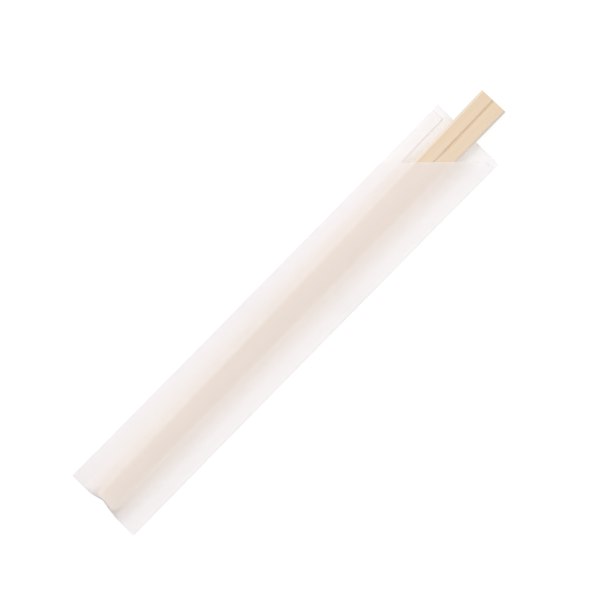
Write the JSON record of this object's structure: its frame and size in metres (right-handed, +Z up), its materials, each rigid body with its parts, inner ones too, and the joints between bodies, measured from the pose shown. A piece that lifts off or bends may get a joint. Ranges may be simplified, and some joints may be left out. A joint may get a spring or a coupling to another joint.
{
  "type": "disposable wooden chopsticks in a paper sleeve",
  "caption": "Joined pair of disposable wooden chopsticks lying in a slim white paper sleeve with a slanted mouth, heads standing out.",
  "frame": {"origin": "middle of the underside, on the surface that the sleeve lies on", "axes": "+Y along the chopsticks towards their joined heads and the sleeve's mouth, +Z up from the table, +X to the right seen from above"},
  "size_m": [0.0314, 0.2068, 0.0046],
  "materials": {
    "light_wood": "raw, planed",
    "white_paper": "thin, uncoated, translucent"
  },
  "bodies": {
    "root": {"chopsticks": "light_wood", "paper_sleeve": "white_paper"}
  },
  "joints": []
}
